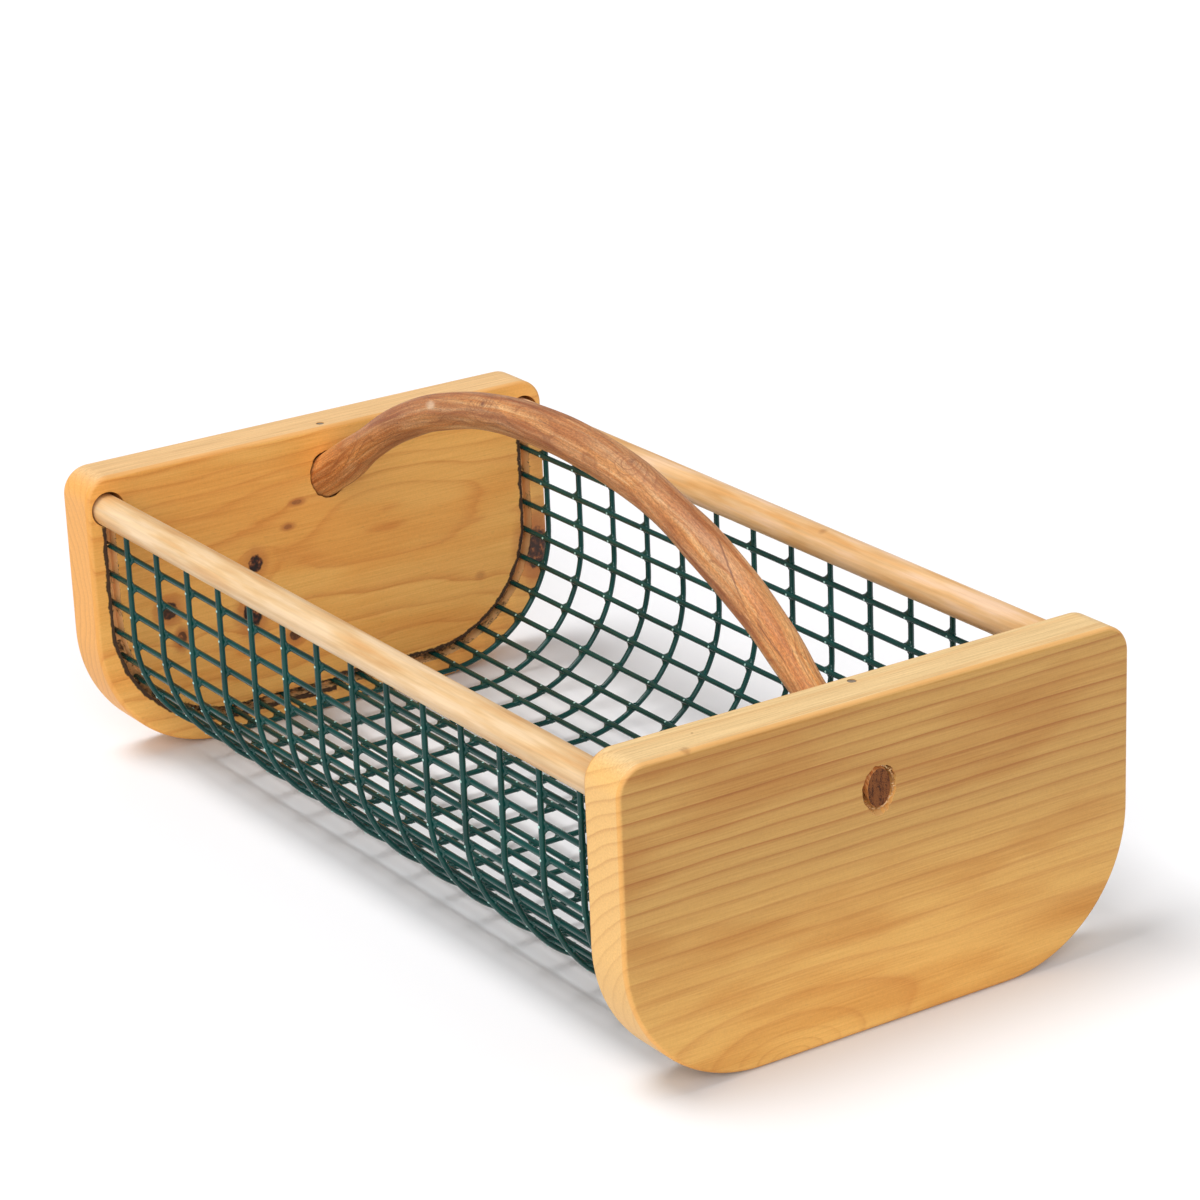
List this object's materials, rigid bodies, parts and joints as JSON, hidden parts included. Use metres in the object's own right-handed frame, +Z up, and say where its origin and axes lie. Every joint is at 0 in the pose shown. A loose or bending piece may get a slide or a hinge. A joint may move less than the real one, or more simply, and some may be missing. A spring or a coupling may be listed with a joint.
{
  "type": "garden hod",
  "caption": "Open garden basket: wooden end boards joined by dowel rails, a coated wire mesh bent to a U and an arched stick handle.",
  "frame": {"origin": "on the ground, below the middle of the hod", "axes": "+X along the length towards the near end board, +Y across towards the right rail, +Z up"},
  "size_m": [0.405, 0.218, 0.1751],
  "materials": {
    "pine": "sanded bare pine",
    "dowel": "smooth bare dowel",
    "stick": "peeled hardwood stick, worn smooth",
    "coated_wire": "dark green plastic coating, satin gloss",
    "nail_steel": "dark bare steel"
  },
  "bodies": {
    "root": {"far_end_board": "pine", "near_end_board": "pine", "left_side_rail": "dowel", "right_side_rail": "dowel", "wire_mesh": "coated_wire", "handle": "stick", "far_handle_nail": "nail_steel", "near_handle_nail": "nail_steel"}
  },
  "joints": []
}
